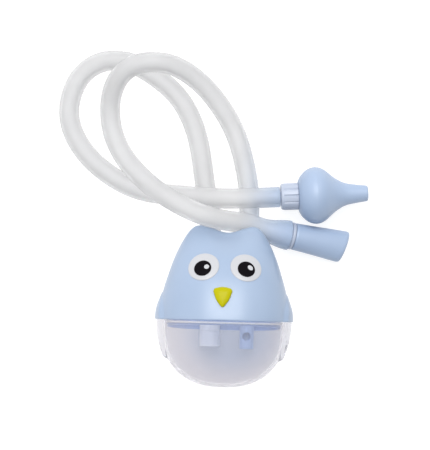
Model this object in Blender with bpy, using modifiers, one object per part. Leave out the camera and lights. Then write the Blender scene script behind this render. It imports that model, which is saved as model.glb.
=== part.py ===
"""Owl-shaped nasal aspirator with two silicone hoses, lying on its back.

An egg-shaped owl is split across the middle into a hollow head and a frosted
collecting cup. A plug plate closes the head and carries two pipes. One hose
runs from the left pipe to a soft nasal tip, the other from the right pipe to
a mouthpiece. Lengths below are in millimetres and are scaled once, when a
mesh or curve is made. The owl's axis lies along Y with the ears at +Y, and
its face looks up along +Z.
"""

import math

import bmesh
import bpy
from mathutils import Matrix, Vector

MM = 0.001
GAP = 0.3  # clearance between pieces that touch
COLLECTION = "nasal_aspirator"

# The owl's outline: y, half width, middle z, front z, back z.
# A back z below zero is cut flat at zero, which makes the resting face.
BODY = (
    (-35.7, 0.0, 23.5, 23.5, 23.5),
    (-35.2, 7.2, 23.5, 29.6, 17.2),
    (-33.7, 12.6, 23.5, 34.2, 11.6),
    (-31.3, 17.4, 23.5, 38.2, 7.0),
    (-28.0, 21.3, 23.5, 41.8, 3.2),
    (-23.0, 24.7, 23.5, 44.9, 0.3),
    (-15.0, 27.4, 23.5, 47.1, -1.4),
    (-6.3, 28.3, 23.5, 47.5, -2.0),
    (1.0, 27.7, 23.5, 46.5, -1.8),
    (8.0, 26.2, 23.4, 44.5, -0.8),
    (14.0, 24.4, 23.1, 41.9, 1.2),
    (20.0, 22.4, 22.6, 38.3, 4.2),
    (26.0, 19.8, 21.9, 33.4, 8.6),
    (30.4, 17.4, 21.4, 28.9, 12.8),
    (33.1, 15.4, 21.1, 25.3, 16.8),
    (34.7, 13.3, 21.0, 23.2, 18.8),
    (35.3, 11.0, 21.0, 21.0, 21.0),
)
SEAM_STATION = 7
RIDGE_STATION = len(BODY) - 1
SEAM_Y, SEAM_HALF_WIDTH, AXIS_Z = BODY[SEAM_STATION][:3]
BELOW_SEAM = SEAM_Y - BODY[0][0]
ABOVE_SEAM = BODY[RIDGE_STATION][0] - SEAM_Y
HALF_DEPTH = 24.0
SQUARENESS = 2.35  # exponent of the superelliptic sections
AROUND = 40

EAR_DIP = 3.2
EAR_DIP_WIDTH = 7.4
EAR_DIP_X = 0.8
WING_PROUD = 1.6
WING_MIDDLE_Y = -9.0
WING_HALF_LENGTH = 15.0
WING_HALF_HEIGHT = 13.0

HEAD_WALL = 2.2
CUP_SETBACK = 0.5
CUP_WALL = 1.6
SHELF_Y = 9.0
RECESS_HALF_WIDTH = 16.5
RECESS_CEILING = 20.2
RECESS_TOP_Y = 45.0

PLATE_THICKNESS = 2.0
SKIRT_DEPTH = 1.7  # at the front; the skirt is deeper at the back, behind the pipes
SKIRT_BACK_DEPTH = 4.4
SKIRT_INSET = 3.65
SKIRT_WALL = 1.0
SEAL_DROP = 0.9
SEAL_RADIUS = 0.45

LEFT_PORT_X = -6.4
RIGHT_PORT_X = 10.0
PORT_Z = 9.4
PORTS = ((LEFT_PORT_X, "left"), (RIGHT_PORT_X, "right"))
PIPE_RADIUS = 3.15
BORE_RADIUS = 1.8
NIPPLE_RADIUS = 2.5
NIPPLE_LENGTH = 9.0
COLLAR_RADIUS = 4.4
COLLAR_LENGTH = 1.0
PIPE_END_Y = -18.6
INLET_END_Y = -14.5
STUB_TOP_Y = -6.8
STUB_END_Y = -17.8

HOSE_RADIUS = 4.5
HOSE_WALL = 1.5
HOSE_POINTS = 40
FLARE_LENGTH = 15.0
FLARE_RADIUS = 6.6

EYE_X = 9.1
EYE_Y = 16.5
EYE_RADIUS = 6.75
PUPIL_RADIUS = 3.75
PUPIL_DROP = 1.1
GLINT_RADIUS = 1.15
GLINT_OFFSET = (1.5, 0.5)
BEAK_X = -0.5
BEAK_Y = 3.6
BEAK_CORNERS = ((2.7, 2.5, 1.4), (-2.7, 2.5, 1.4), (0.0, -3.4, 1.0))

NASAL_START = Vector((23.6, 48.85, 13.23))
NASAL_AXIS = Vector((1.0, 0.07, -0.042)).normalized()
NASAL_COLLAR = 7.6
MOUTH_START = Vector((28.1, 32.0, 10.4))
MOUTH_END = Vector((52.2, 27.7, 5.3))
MOUTH_AXIS = (MOUTH_END - MOUTH_START).normalized()
MOUTH_LENGTH = (MOUTH_END - MOUTH_START).length
END_SLANT = math.radians(9)

HOSE_START_Y = SHELF_Y + GAP + COLLAR_LENGTH + GAP
NASAL_ROUTE = (
    (LEFT_PORT_X, HOSE_START_Y, PORT_Z),
    (LEFT_PORT_X, 20.5, PORT_Z),
    (-6.8, 31.0, 6.8),
    (-8.2, 42.0, 4.7),
    (-10.2, 53.5, 4.7),
    (-13.7, 74.0, 4.7),
    (-19.3, 87.5, 4.7),
    (-26.2, 96.3, 4.7),
    (-35.8, 103.5, 4.7),
    (-46.0, 108.5, 4.7),
    (-57.1, 108.6, 4.7),
    (-66.0, 103.3, 4.7),
    (-71.1, 94.0, 4.7),
    (-72.1, 83.0, 4.7),
    (-68.2, 72.4, 4.7),
    (-59.6, 62.2, 4.7),
    (-46.8, 53.7, 4.7),
    (-34.8, 49.9, 4.7),
    (-23.4, 49.0, 8.4),
    (-12.1, 47.8, 13.5),
    (-1.1, 47.4, 14.2),
    (9.9, 47.9, 13.8),
    (16.0, 48.3, 13.5),
    (23.2, 48.82, 13.25),
)
MOUTH_ROUTE = (
    (RIGHT_PORT_X, HOSE_START_Y, PORT_Z),
    (RIGHT_PORT_X, 20.5, PORT_Z),
    (9.8, 30.0, 5.9),
    (9.8, 40.0, 4.7),
    (9.2, 54.0, 4.7),
    (3.9, 75.0, 4.7),
    (-5.0, 90.5, 5.0),
    (-15.5, 101.2, 8.0),
    (-26.2, 106.6, 12.5),
    (-35.9, 107.3, 14.2),
    (-43.4, 105.4, 14.2),
    (-49.2, 101.0, 12.5),
    (-52.8, 94.0, 8.5),
    (-53.7, 85.5, 5.2),
    (-51.9, 75.4, 5.4),
    (-46.6, 65.3, 9.0),
    (-39.4, 57.1, 13.2),
    (-31.6, 50.5, 15.6),
    (-23.4, 45.4, 19.6),
    (-15.5, 41.4, 23.6),
    (-7.8, 38.6, 25.1),
    (1.0, 37.2, 20.0),
    (10.0, 36.55, 14.9),
    (18.8, 33.6, 12.45),
    (27.75, 32.06, 10.47),
)

MATERIALS = {
    "blue_shell": ((0.40, 0.58, 0.83), 0.32, 1.0),
    "blue_soft": ((0.42, 0.60, 0.84), 0.50, 1.0),
    "frosted_clear": ((0.80, 0.81, 0.84), 0.45, 0.45),
    "hose_clear": ((0.86, 0.86, 0.87), 0.35, 0.55),
    "seal_white": ((0.88, 0.88, 0.88), 0.50, 1.0),
    "eye_white": ((0.86, 0.87, 0.88), 0.30, 1.0),
    "pupil_black": ((0.01, 0.01, 0.012), 0.25, 1.0),
    "beak_yellow": ((0.70, 0.62, 0.01), 0.30, 1.0),
}


def clear_scene():
    for obj in list(bpy.data.objects):
        bpy.data.objects.remove(obj, do_unlink=True)
    for name in (COLLECTION, "cutters"):
        collection = bpy.data.collections.new(name)
        bpy.context.scene.collection.children.link(collection)


def material(name):
    found = bpy.data.materials.get(name)
    if found:
        return found
    colour, roughness, alpha = MATERIALS[name]
    made = bpy.data.materials.new(name)
    made.use_nodes = True
    shader = made.node_tree.nodes["Principled BSDF"]
    shader.inputs["Base Color"].default_value = (*colour, 1.0)
    shader.inputs["Roughness"].default_value = roughness
    shader.inputs["Metallic"].default_value = 0.0
    shader.inputs["Alpha"].default_value = alpha
    return made


def add_part(name, data, slot):
    """Link a mesh or curve as one visible, smooth-shaded piece of the object."""
    obj = bpy.data.objects.new(name, data)
    bpy.data.collections[COLLECTION].objects.link(obj)
    data.materials.append(material(slot))
    if isinstance(data, bpy.types.Mesh):
        data.shade_smooth()
        data.set_sharp_from_angle(angle=math.radians(35))
    return obj


def add_cutter(name, data):
    obj = bpy.data.objects.new(name, data)
    bpy.data.collections["cutters"].objects.link(obj)
    obj.hide_render = True
    obj.display_type = "WIRE"
    return obj


def cut(obj, other, solver="EXACT"):
    modifier = obj.modifiers.new(f"cut_{other.name}", "BOOLEAN")
    modifier.operation = "DIFFERENCE"
    modifier.object = other
    modifier.solver = solver


def loft_mesh(name, rings):
    """Skin closed rings in order and cap both ends; a ring may shrink to a point or a line."""
    count = len(rings[0])
    points = [Vector(p) * MM for ring in rings for p in ring]
    faces = [tuple(range(count - 1, -1, -1))]
    for r in range(len(rings) - 1):
        low, high = r * count, (r + 1) * count
        for i in range(count):
            j = (i + 1) % count
            faces.append((low + i, low + j, high + j, high + i))
    faces.append(tuple(range((len(rings) - 1) * count, len(rings) * count)))
    mesh = bpy.data.meshes.new(name)
    mesh.from_pydata(points, [], faces)
    shape = bmesh.new()
    shape.from_mesh(mesh)
    bmesh.ops.remove_doubles(shape, verts=shape.verts, dist=0.02 * MM)
    bmesh.ops.dissolve_degenerate(shape, edges=shape.edges, dist=0.001 * MM)
    bmesh.ops.recalc_face_normals(shape, faces=shape.faces)
    shape.to_mesh(mesh)
    shape.free()
    return mesh


def turned_mesh(name, profile, steps=28):
    """Spin a profile of (radius, height) about Z. It runs down the outer side, then up a bore."""
    mesh = bpy.data.meshes.new(name)
    points = [(radius * MM, 0.0, height * MM) for radius, height in profile]
    edges = [(i, i + 1) for i in range(len(points) - 1)]
    if profile[0][0] > 0:
        edges.append((len(points) - 1, 0))
    mesh.from_pydata(points, edges, [])
    holder = bpy.data.objects.new(name, mesh)
    bpy.context.scene.collection.objects.link(holder)
    spin = holder.modifiers.new("spin", "SCREW")
    spin.axis = "Z"
    spin.steps = steps
    spin.render_steps = steps
    spin.use_merge_vertices = True
    spin.merge_threshold = 0.00001
    graph = bpy.context.evaluated_depsgraph_get()
    made = bpy.data.meshes.new_from_object(holder.evaluated_get(graph))
    made.name = name
    bpy.data.objects.remove(holder, do_unlink=True)
    return made


def cylinder_mesh(name, radius, length, segments=32):
    mesh = bpy.data.meshes.new(name)
    shape = bmesh.new()
    bmesh.ops.create_cone(
        shape, cap_ends=True, segments=segments,
        radius1=radius * MM, radius2=radius * MM, depth=length * MM,
    )
    shape.to_mesh(mesh)
    shape.free()
    return mesh


def block_mesh(name, low, high, bevel):
    """A box between two corners, its edges along Y rounded."""
    mesh = bpy.data.meshes.new(name)
    shape = bmesh.new()
    size = Vector(high) - Vector(low)
    middle = (Vector(high) + Vector(low)) / 2
    bmesh.ops.create_cube(shape, size=1.0)
    bmesh.ops.scale(shape, verts=shape.verts, vec=size * MM)
    bmesh.ops.translate(shape, verts=shape.verts, vec=middle * MM)
    along_y = [e for e in shape.edges if abs((e.verts[0].co - e.verts[1].co).y) > size.y * MM / 2]
    bmesh.ops.bevel(shape, geom=along_y, offset=bevel * MM, segments=4, affect="EDGES", profile=0.5)
    shape.to_mesh(mesh)
    shape.free()
    return mesh


def facing(point, axis, up=Vector((0.0, 0.0, 1.0))):
    """A placement at a point given in millimetres, with its Z along an axis."""
    z = Vector(axis).normalized()
    x = up.cross(z)
    x = x.normalized() if x.length > 0.001 else Vector((1.0, 0.0, 0.0))
    turn = Matrix((x, z.cross(x), z)).transposed().to_4x4()
    return Matrix.Translation(Vector(point) * MM) @ turn


def catmull_rom(values, t):
    """Values at parameter t along a uniform Catmull-Rom curve padded by one entry at each end."""
    i = min(int(t), len(values) - 4)
    f = t - i
    a, b, c, d = values[i:i + 4]
    return tuple(
        0.5 * (2 * q + (r - p) * f + (2 * p - 5 * q + 4 * r - s) * f * f + (3 * q - p - 3 * r + s) * f ** 3)
        for p, q, r, s in zip(a, b, c, d)
    )


def padded_body():
    """The stations with mirror images past both ends, so that the surface closes round."""
    y, half, middle, front, back = BODY[1]
    first = (y, -half, middle, 2 * middle - front, 2 * middle - back)
    y, half, middle, front, back = BODY[-2]
    last = (y, half, middle, 2 * middle - front, 2 * middle - back)
    return (first, *BODY, last)


PADDED_BODY = padded_body()


def body_at(t):
    return catmull_rom(PADDED_BODY, t)


def station_at(y):
    """The station parameter whose section lies at this y."""
    low, high = 0.0, float(RIDGE_STATION)
    for _ in range(40):
        middle = (low + high) / 2
        if body_at(middle)[0] < y:
            low = middle
        else:
            high = middle
    return low


def power(value, exponent):
    return math.copysign(abs(value) ** exponent, value)


def smooth_step(value):
    value = max(0.0, min(1.0, value))
    return value * value * (3 - 2 * value)


def wing_height(y, z):
    """How far the wing pad stands out of the side at this place."""
    along = (y - WING_MIDDLE_Y) / WING_HALF_LENGTH
    across = (z - AXIS_Z) / WING_HALF_HEIGHT
    inside = 1 - along ** 2 - across ** 2
    swell = smooth_step((WING_MIDDLE_Y + WING_HALF_LENGTH - y) / 9.0)
    return WING_PROUD * smooth_step(inside / 0.22) * (0.25 + 0.75 * swell)


def ear_drop(x, y):
    """How far the top edge between the ears dips."""
    return EAR_DIP * math.exp(-(((x - EAR_DIP_X) / EAR_DIP_WIDTH) ** 2)) * smooth_step((y - 20.0) / 15.0)


def section(t, inset=0.0, wings=False, y=None):
    """One ring of the owl's surface, drawn in by inset towards the axis and the seam."""
    station_y, half, middle, front, back = body_at(t)
    span = ABOVE_SEAM if station_y > SEAM_Y else BELOW_SEAM
    shrink_x = 1 - inset / SEAM_HALF_WIDTH
    shrink_z = 1 - inset / HALF_DEPTH
    if y is None:
        y = SEAM_Y + (station_y - SEAM_Y) * (1 - inset / span)
    ring = []
    for i in range(AROUND):
        angle = math.tau * i / AROUND
        x = half * power(math.cos(angle), 2 / SQUARENESS)
        lift = power(math.sin(angle), 2 / SQUARENESS)
        z = max(0.0, middle + lift * ((front - middle) if lift > 0 else (middle - back)))
        if wings:
            x += math.copysign(wing_height(station_y, z), x) if abs(x) > 1 else 0.0
        ring.append((x * shrink_x, y - ear_drop(x, station_y), AXIS_Z + (z - AXIS_Z) * shrink_z))
    return ring


def section_at(y, inset, **more):
    return section(station_at(y), inset, y=y, **more)


def spread(low, high, step):
    """Station parameters from low to high, evenly about a step apart."""
    count = max(1, round(abs(high - low) / step))
    return [low + (high - low) * i / count for i in range(count + 1)]


def front_z(x, y):
    """Height of the face above a point of the plan."""
    _, half, middle, front, _ = body_at(station_at(y))
    return middle + (front - middle) * (1 - abs(x / half) ** SQUARENESS) ** (1 / SQUARENESS)


def face_placement(x, y):
    """A frame on the face whose Z is the surface normal and whose Y points to the ears."""
    step = 0.5
    slope_x = (front_z(x + step, y) - front_z(x - step, y)) / (2 * step)
    slope_y = (front_z(x, y + step) - front_z(x, y - step)) / (2 * step)
    z = Vector((-slope_x, -slope_y, 1.0)).normalized()
    across = Vector((0.0, 1.0, 0.0)).cross(z).normalized()
    turn = Matrix((across, z.cross(across), z)).transposed().to_4x4()
    return Matrix.Translation(Vector((x, y, front_z(x, y))) * MM) @ turn


def make_head():
    rings = [section(t, wings=True) for t in spread(SEAM_STATION, RIDGE_STATION, 0.5)]
    head = add_part("head_shell", loft_mesh("head_shell", rings), "blue_shell")

    below = [section_at(SEAM_Y - 2.0, HEAD_WALL)]
    inner = [section(t, HEAD_WALL) for t in spread(SEAM_STATION, RIDGE_STATION, 0.75)]
    cavity = add_cutter("head_cavity", loft_mesh("head_cavity", below + inner))
    wall = HEAD_WALL
    cut(cavity, add_cutter("recess_wall", block_mesh(
        "recess_wall",
        (-RECESS_HALF_WIDTH - wall, SHELF_Y - wall, -8.0),
        (RECESS_HALF_WIDTH + wall, RECESS_TOP_Y, RECESS_CEILING + wall),
        6.0,
    )))
    cut(head, cavity)
    cut(head, add_cutter("hose_recess", block_mesh(
        "hose_recess",
        (-RECESS_HALF_WIDTH, SHELF_Y, -10.0),
        (RECESS_HALF_WIDTH, RECESS_TOP_Y, RECESS_CEILING),
        4.0,
    )))
    for port_x, name in PORTS:
        hole = add_cutter(f"shelf_hole_{name}", cylinder_mesh(f"shelf_hole_{name}", PIPE_RADIUS + GAP, 8.0, 28))
        hole.matrix_world = facing((port_x, SHELF_Y, PORT_Z), (0, 1, 0))
        cut(head, hole, "MANIFOLD")
    return head


def skirt_edge(inset):
    """The skirt's lower edge, which runs deeper towards the back."""
    slope = (SKIRT_BACK_DEPTH - SKIRT_DEPTH) / (2 * AXIS_Z)
    ring = section_at(SEAM_Y, inset)
    return [(x, y - SKIRT_BACK_DEPTH + slope * z, z) for x, y, z in ring]


def make_port_plate():
    """A plug: a plate that fits the head's mouth, with a skirt that fits the cup's."""
    plate_inset = HEAD_WALL + GAP + 0.1
    inner_inset = SKIRT_INSET + SKIRT_WALL
    rings = [
        section_at(SEAM_Y + PLATE_THICKNESS, plate_inset),
        section_at(SEAM_Y, plate_inset),
        section_at(SEAM_Y, SKIRT_INSET),
        skirt_edge(SKIRT_INSET),
        skirt_edge(inner_inset),
        section_at(SEAM_Y, inner_inset),
    ]
    plate = add_part("port_plate", loft_mesh("port_plate", rings), "blue_shell")
    for port_x, name in PORTS:
        hole = add_cutter(f"plate_hole_{name}", cylinder_mesh(f"plate_hole_{name}", PIPE_RADIUS + GAP, 12.0, 28))
        hole.matrix_world = facing((port_x, SEAM_Y, PORT_Z), (0, 1, 0))
        cut(plate, hole)


def make_seal():
    """A soft ring round the skirt, which the cup pushes over."""
    curve = bpy.data.curves.new("sealing_ring", "CURVE")
    curve.dimensions = "3D"
    curve.bevel_depth = SEAL_RADIUS * MM
    curve.bevel_resolution = 2
    spline = curve.splines.new("POLY")
    ring = section_at(SEAM_Y - SEAL_DROP, SKIRT_INSET - GAP - SEAL_RADIUS)
    spline.points.add(len(ring) - 1)
    for point, place in zip(spline.points, ring):
        point.co = (*(Vector(place) * MM), 1.0)
    spline.use_cyclic_u = True
    add_part("sealing_ring", curve, "seal_white")


def make_cup():
    wall = CUP_SETBACK + CUP_WALL
    rim_y = SEAM_Y - GAP
    outer = [section(t, CUP_SETBACK, wings=True) for t in spread(0.0, SEAM_STATION - 0.5, 0.5)]
    inner = [section(t, wall) for t in spread(SEAM_STATION - 0.5, 0.0, 0.75)]
    rims = [section_at(rim_y, CUP_SETBACK, wings=True), section_at(rim_y, wall)]
    add_part("cup", loft_mesh("cup", outer + rims + inner), "frosted_clear")


def pipe_profile(lower_radius, end_y):
    """Heights run along +Y from the shelf's outer face."""
    tip = GAP + COLLAR_LENGTH + NIPPLE_LENGTH
    end = end_y - SHELF_Y
    neck = STUB_TOP_Y + GAP - SHELF_Y
    return (
        (NIPPLE_RADIUS - 0.4, tip),
        (NIPPLE_RADIUS, tip - 1.5),
        (NIPPLE_RADIUS - 0.3, tip - 3.0),
        (NIPPLE_RADIUS - 0.3, GAP + COLLAR_LENGTH),
        (COLLAR_RADIUS, GAP + COLLAR_LENGTH),
        (COLLAR_RADIUS, GAP),
        (PIPE_RADIUS, GAP),
        (PIPE_RADIUS, neck),
        (lower_radius, neck),
        (lower_radius, end),
        (BORE_RADIUS, end),
        (BORE_RADIUS, tip),
    )


def make_pipes():
    inlet = add_part("inlet_pipe", turned_mesh("inlet_pipe", pipe_profile(NIPPLE_RADIUS, INLET_END_Y)), "blue_shell")
    inlet.matrix_world = facing((LEFT_PORT_X, SHELF_Y, PORT_Z), (0, 1, 0))
    outlet = add_part("outlet_pipe", turned_mesh("outlet_pipe", pipe_profile(PIPE_RADIUS, PIPE_END_Y)), "blue_shell")
    outlet.matrix_world = facing((RIGHT_PORT_X, SHELF_Y, PORT_Z), (0, 1, 0))
    side_hole = add_cutter("side_hole", cylinder_mesh("side_hole", 1.9, 12.0, 20))
    side_hole.location = Vector((RIGHT_PORT_X, SEAM_Y - 6.8, PORT_Z + 6.0)) * MM
    cut(outlet, side_hole)

    length = STUB_TOP_Y - STUB_END_Y
    stub_bore = NIPPLE_RADIUS + GAP
    profile = ((HOSE_RADIUS, length), (HOSE_RADIUS, 0.0), (stub_bore, 0.0), (stub_bore, length))
    stub = add_part("inlet_stub", turned_mesh("inlet_stub", profile), "hose_clear")
    stub.matrix_world = facing((LEFT_PORT_X, STUB_END_Y, PORT_Z), (0, 1, 0))


def make_eye(side, name):
    frame = face_placement(side * EYE_X, EYE_Y)
    white_profile = (
        (0.0, 0.45), (3.0, 0.38), (5.4, 0.1), (6.3, -0.2), (EYE_RADIUS, -0.6), (EYE_RADIUS, -1.1), (0.0, -1.1),
    )
    white = add_part(f"eye_white_{name}", turned_mesh(f"eye_white_{name}", white_profile, 36), "eye_white")
    white.matrix_world = frame
    socket = add_cutter(f"eye_socket_{name}", cylinder_mesh(f"eye_socket_{name}", EYE_RADIUS + GAP, 4.0, 36))
    socket.matrix_world = frame @ Matrix.Translation((0, 0, (2.0 - 1.4) * MM))
    cut(bpy.data.objects["head_shell"], socket, "MANIFOLD")

    pupil_frame = frame @ Matrix.Translation((0, -PUPIL_DROP * MM, 0))
    pupil_profile = ((0.0, 0.62), (2.9, 0.55), (PUPIL_RADIUS, 0.35), (PUPIL_RADIUS, -0.2), (0.0, -0.2))
    pupil = add_part(f"pupil_{name}", turned_mesh(f"pupil_{name}", pupil_profile), "pupil_black")
    pupil.matrix_world = pupil_frame
    pocket = add_cutter(f"pupil_pocket_{name}", cylinder_mesh(f"pupil_pocket_{name}", PUPIL_RADIUS + GAP, 3.0, 28))
    pocket.matrix_world = pupil_frame @ Matrix.Translation((0, 0, (1.5 - 0.5) * MM))
    cut(white, pocket)

    glint_frame = pupil_frame @ Matrix.Translation((GLINT_OFFSET[0] * MM, GLINT_OFFSET[1] * MM, 0))
    glint_profile = ((0.0, 0.75), (GLINT_RADIUS, 0.7), (GLINT_RADIUS, 0.4), (0.0, 0.4))
    glint = add_part(f"glint_{name}", turned_mesh(f"glint_{name}", glint_profile, 16), "eye_white")
    glint.matrix_world = glint_frame
    dimple = add_cutter(f"glint_dimple_{name}", cylinder_mesh(f"glint_dimple_{name}", GLINT_RADIUS + GAP, 2.0, 16))
    dimple.matrix_world = glint_frame @ Matrix.Translation((0, 0, (1.0 + 0.1) * MM))
    cut(pupil, dimple)


def beak_ring(scale, height, grow=0.0):
    """The beak's outline: arcs round three corners, joined by straight sides."""
    ring = []
    for number, (x, y, radius) in enumerate(BEAK_CORNERS):
        start = math.radians((-30, 90, 210)[number])
        for i in range(6):
            angle = start + math.radians(120) * i / 5
            reach = radius + grow
            ring.append(((x + reach * math.cos(angle)) * scale, (y + reach * math.sin(angle)) * scale, height))
    return ring


def make_beak():
    frame = face_placement(BEAK_X, BEAK_Y)
    levels = ((1.0, -0.9), (1.0, 0.5), (0.93, 1.0), (0.75, 1.5), (0.4, 1.8))
    rings = [beak_ring(scale, height) for scale, height in levels]
    beak = add_part("beak", loft_mesh("beak", rings), "beak_yellow")
    beak.matrix_world = frame
    rings = [beak_ring(1.0, -1.2, GAP), beak_ring(1.0, 3.0, GAP)]
    socket = add_cutter("beak_socket", loft_mesh("beak_socket", rings))
    socket.matrix_world = frame
    cut(bpy.data.objects["head_shell"], socket, "MANIFOLD")


def smooth_route(route, count):
    """Evenly spaced points on a smooth curve through a route's points."""
    first = tuple(2 * a - b for a, b in zip(route[0], route[1]))
    last = tuple(2 * a - b for a, b in zip(route[-1], route[-2]))
    padded = (first, *route, last)
    dense = [Vector(catmull_rom(padded, t)) for t in spread(0.0, len(route) - 1.0, 0.05)]
    for _ in range(60):
        middle = [(a + b * 2 + c) / 4 for a, b, c in zip(dense, dense[1:], dense[2:])]
        dense = [dense[0], *middle, dense[-1]]
    reach = [0.0]
    for a, b in zip(dense, dense[1:]):
        reach.append(reach[-1] + (b - a).length)
    points, i = [], 0
    for k in range(count):
        goal = reach[-1] * k / (count - 1)
        while i < len(dense) - 2 and reach[i + 1] < goal:
            i += 1
        share = (goal - reach[i]) / (reach[i + 1] - reach[i])
        points.append(dense[i].lerp(dense[i + 1], share))
    return points, reach[-1]


def make_hose(name, route, flared):
    points, length = smooth_route(route, HOSE_POINTS)
    curve = bpy.data.curves.new(name, "CURVE")
    curve.dimensions = "3D"
    curve.bevel_depth = HOSE_RADIUS * MM
    curve.bevel_resolution = 3
    spline = curve.splines.new("POLY")
    spline.points.add(len(points) - 1)
    for k, (point, place) in enumerate(zip(spline.points, points)):
        point.co = (*(place * MM), 1.0)
        from_end = length * (1 - k / (len(points) - 1))
        if flared:
            widening = smooth_step(1 - from_end / FLARE_LENGTH)
            point.radius = 1 + (FLARE_RADIUS / HOSE_RADIUS - 1) * widening
    hose = add_part(name, curve, "hose_clear")
    wall = hose.modifiers.new("wall", "SOLIDIFY")
    wall.thickness = HOSE_WALL * MM
    wall.offset = -1.0


def make_nasal_end():
    """The ribbed connector in the hose's end and the soft bulb pushed over its spigot."""
    frame = facing(NASAL_START, NASAL_AXIS)
    collar = NASAL_COLLAR
    profile = (
        (3.0, collar + 7.0), (3.0, collar), (5.6, collar), (5.95, collar - 0.5), (5.95, 0.6), (5.5, 0.0),
        (NIPPLE_RADIUS - 0.3, 0.0), (NIPPLE_RADIUS - 0.3, -9.0), (NIPPLE_RADIUS, -10.5), (NIPPLE_RADIUS - 0.5, -12.0),
        (BORE_RADIUS - 0.2, -12.0), (BORE_RADIUS - 0.2, collar + 7.0),
    )
    connector = add_part("nasal_connector", turned_mesh("nasal_connector", profile), "blue_shell")
    connector.matrix_world = frame

    base = collar + GAP
    outside = (
        (38.4, 3.1), (38.1, 3.5), (34.5, 3.9), (30.3, 4.55), (27.9, 5.2), (25.8, 6.25), (23.7, 7.6), (21.6, 9.35),
        (19.6, 11.05), (17.5, 12.15), (15.4, 12.5), (13.3, 12.2), (11.2, 11.15), (9.2, 9.25), (base, 6.65),
    )
    inside = (
        (base, 3.3), (collar + 5.0, 3.3), (collar + 5.2, 9.6), (15.4, 10.9), (19.0, 9.8), (23.7, 5.9),
        (27.9, 3.5), (34.5, 2.0), (38.4, 1.7),
    )
    profile = tuple((radius, height) for height, radius in outside + inside)
    tip = add_part("nasal_tip", turned_mesh("nasal_tip", profile, 26), "blue_soft")
    tip.matrix_world = frame


def mouth_ring(along, width, height, slant=0.0):
    """An oval ring across the mouthpiece's own Z axis, wide along X."""
    count = 28
    ring = []
    for i in range(count):
        angle = math.tau * i / count
        x, y = width * math.cos(angle), height * math.sin(angle)
        ring.append((x, y, along + x * math.tan(slant)))
    return ring


def make_mouth_end():
    """The tapered spigot in the hose's end and the flattened mouthpiece pushed over it."""
    frame = facing(MOUTH_START, MOUTH_AXIS)
    flange = 1.4
    profile = (
        (3.6, flange + 7.0), (3.9, flange), (5.9, flange), (6.1, 0.9), (5.9, 0.0), (4.2, 0.0),
        (2.3, -11.0), (BORE_RADIUS, -12.0), (BORE_RADIUS - 0.2, -12.0), (BORE_RADIUS - 0.2, flange + 7.0),
    )
    spigot = add_part("mouthpiece_spigot", turned_mesh("mouthpiece_spigot", profile), "blue_shell")
    spigot.matrix_world = frame

    base = flange + GAP
    end = MOUTH_LENGTH
    outside = (
        (base, 5.95, 5.95, 0.0), (base + 6.0, 6.2, 5.75, 0.0), (base + 13.0, 6.6, 5.4, 0.3),
        (end - 1.2, 7.1, 5.2, 1.0), (end, 6.7, 4.8, 1.0),
    )
    inside = (
        (end, 5.2, 3.3, 1.0), (base + 13.0, 4.9, 3.6, 0.3), (base + 7.5, 4.5, 4.3, 0.0), (base, 4.3, 4.3, 0.0),
    )
    rings = [mouth_ring(along, wide, high, END_SLANT * share) for along, wide, high, share in outside + inside]
    rings.append(rings[0])
    mouthpiece = add_part("mouthpiece", loft_tube("mouthpiece", rings), "blue_soft")
    mouthpiece.matrix_world = frame


def loft_tube(name, rings):
    """Skin rings whose last repeats the first, as on a pipe with a wall."""
    count = len(rings[0])
    points = [Vector(p) * MM for ring in rings for p in ring]
    faces = []
    for r in range(len(rings) - 1):
        low, high = r * count, (r + 1) * count
        for i in range(count):
            j = (i + 1) % count
            faces.append((low + i, low + j, high + j, high + i))
    mesh = bpy.data.meshes.new(name)
    mesh.from_pydata(points, [], faces)
    shape = bmesh.new()
    shape.from_mesh(mesh)
    bmesh.ops.remove_doubles(shape, verts=shape.verts, dist=0.001 * MM)
    bmesh.ops.recalc_face_normals(shape, faces=shape.faces)
    shape.to_mesh(mesh)
    shape.free()
    return mesh


def main():
    clear_scene()
    make_head()
    make_port_plate()
    make_seal()
    make_cup()
    make_pipes()
    for side, name in ((-1, "left"), (1, "right")):
        make_eye(side, name)
    make_beak()
    make_hose("hose_nasal", NASAL_ROUTE, flared=False)
    make_hose("hose_mouth", MOUTH_ROUTE, flared=True)
    make_nasal_end()
    make_mouth_end()


main()
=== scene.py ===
"""Looks of the owl-shaped nasal aspirator: shells, face, hoses, soft ends, materials and studio.

Lengths are millimetres, and MM turns them into metres as each mesh is made; only the studio and the fine
relief of the materials are given in metres. The owl lies on its back with its ears towards +Y and its face
towards +Z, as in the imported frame.
"""

import math
from functools import cache

import bpy
from mathutils import Matrix, Vector


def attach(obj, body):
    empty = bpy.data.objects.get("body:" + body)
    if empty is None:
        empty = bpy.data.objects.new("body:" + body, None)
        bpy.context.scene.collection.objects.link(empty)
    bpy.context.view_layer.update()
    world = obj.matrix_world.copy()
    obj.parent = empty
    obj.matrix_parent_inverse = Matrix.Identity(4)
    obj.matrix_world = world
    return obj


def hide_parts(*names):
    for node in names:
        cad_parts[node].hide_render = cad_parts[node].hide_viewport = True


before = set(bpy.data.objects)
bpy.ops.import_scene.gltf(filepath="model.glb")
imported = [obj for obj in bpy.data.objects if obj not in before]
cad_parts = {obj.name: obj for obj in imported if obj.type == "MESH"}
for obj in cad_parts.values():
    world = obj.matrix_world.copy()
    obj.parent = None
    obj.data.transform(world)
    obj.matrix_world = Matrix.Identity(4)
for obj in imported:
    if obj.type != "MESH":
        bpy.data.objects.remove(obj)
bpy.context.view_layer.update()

MM = 0.001
TAU = math.tau
UP = Vector((0.0, 0.0, 1.0))

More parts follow.
